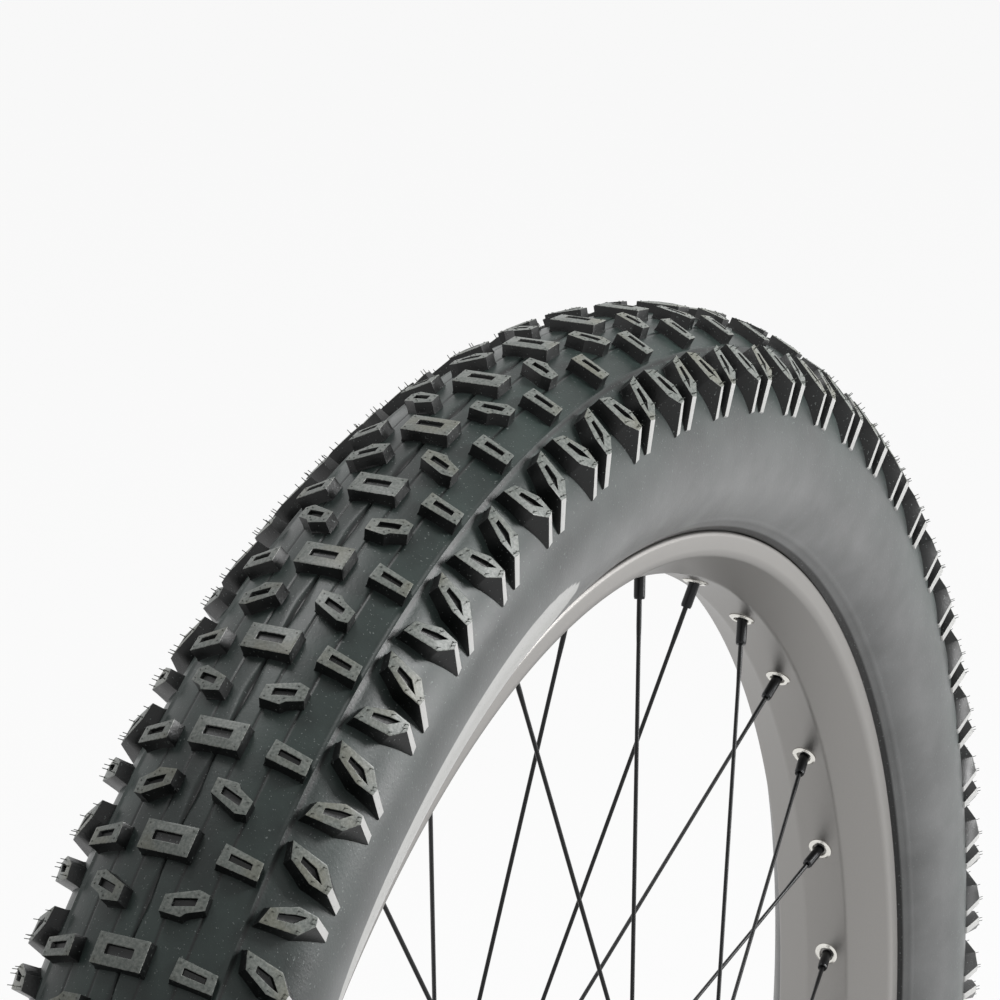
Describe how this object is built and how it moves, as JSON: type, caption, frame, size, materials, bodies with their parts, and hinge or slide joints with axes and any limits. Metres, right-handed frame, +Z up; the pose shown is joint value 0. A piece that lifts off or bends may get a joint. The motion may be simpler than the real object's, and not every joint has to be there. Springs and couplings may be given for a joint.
{
  "type": "spoked wheel",
  "caption": "Wire-spoked wheel with a wide knobbly tyre, an eyeleted double-wall rim and a sealed-bearing hub for a through axle with a six-bolt rotor mount.",
  "frame": {"origin": "centre of the wheel, on the axle bore's axis, midway between the end caps", "axes": "+Y along the spin axis towards the brake rotor side, +Z up"},
  "size_m": [0.7226, 0.15, 0.7226],
  "materials": {
    "tyre_rubber": "moulded, dusty",
    "tube_rubber": "smooth",
    "rim_tape_cloth": "woven",
    "rim_aluminium": "satin anodised",
    "eyelet_steel": "polished",
    "black_nipple": "black anodised",
    "black_spoke": "black oxide",
    "valve_brass": "turned",
    "valve_nickel": "nickel plated",
    "cap_plastic": "moulded",
    "hub_aluminium": "black anodised",
    "axle_aluminium": "anodised",
    "bearing_steel": "ground",
    "seal_rubber": "moulded",
    "cage_nylon": "moulded"
  },
  "bodies": {
    "axle_assembly": {"axle": "axle_aluminium", "bearing_inner_ring_plain_side": "bearing_steel", "end_cap_plain_side": "axle_aluminium", "end_cap_o_ring_plain_side": "seal_rubber", "bearing_inner_ring_rotor_side": "bearing_steel", "end_cap_rotor_side": "axle_aluminium", "end_cap_o_ring_rotor_side": "seal_rubber"},
    "wheel": {"tyre": "tyre_rubber", "inner_tube": "tube_rubber", "rim_tape": "rim_tape_cloth", "rim": "rim_aluminium", "eyelets": "eyelet_steel", "nipples": "black_nipple", "spokes_plain_trailing": "black_spoke", "spokes_plain_leading": "black_spoke", "spokes_rotor_trailing": "black_spoke", "spokes_rotor_leading": "black_spoke", "valve_stem": "valve_brass", "valve_rim_nut": "valve_nickel", "valve_core_body": "valve_brass", "valve_core_gasket": "seal_rubber", "hub_shell": "hub_aluminium", "bearing_outer_ring_plain_side": "bearing_steel", "bearing_seal_outside_plain_side": "seal_rubber", "bearing_seal_inside_plain_side": "seal_rubber", "bearing_outer_ring_rotor_side": "bearing_steel", "bearing_seal_outside_rotor_side": "seal_rubber", "bearing_seal_inside_rotor_side": "seal_rubber"},
    "balls_plain_side": {"bearing_balls_plain_side": "bearing_steel", "bearing_cage_plain_side": "cage_nylon"},
    "balls_rotor_side": {"bearing_balls_rotor_side": "bearing_steel", "bearing_cage_rotor_side": "cage_nylon"},
    "valve_pin": {"valve_core_pin": "valve_nickel"},
    "valve_cap": {"valve_cap": "cap_plastic"}
  },
  "joints": [
    {"name": "wheel_spin", "type": "hinge", "parent": "axle_assembly", "child": "wheel", "pos_m": [0, 0, 0], "axis": [0, 1, 0], "continuous": true},
    {"name": "balls_roll_plain_side", "type": "hinge", "parent": "axle_assembly", "child": "balls_plain_side", "pos_m": [0, 0, 0], "axis": [0, 1, 0], "continuous": true},
    {"name": "balls_roll_rotor_side", "type": "hinge", "parent": "axle_assembly", "child": "balls_rotor_side", "pos_m": [0, 0, 0], "axis": [0, 1, 0], "continuous": true},
    {"name": "valve_pin_press", "type": "slide", "parent": "wheel", "child": "valve_pin", "axis": [-0.3726, 0, -0.928], "range_m": [0, 0.0015], "stiffness_N_per_m": 400},
    {"name": "valve_cap_off", "type": "slide", "parent": "wheel", "child": "valve_cap", "axis": [0.3726, 0, 0.928], "range_m": [0, 0.025]}
  ],
  "couplings": [
    {"joint": "balls_roll_plain_side", "follows": "wheel_spin", "ratio": 0.5745},
    {"joint": "balls_roll_rotor_side", "follows": "wheel_spin", "ratio": 0.5745}
  ]
}
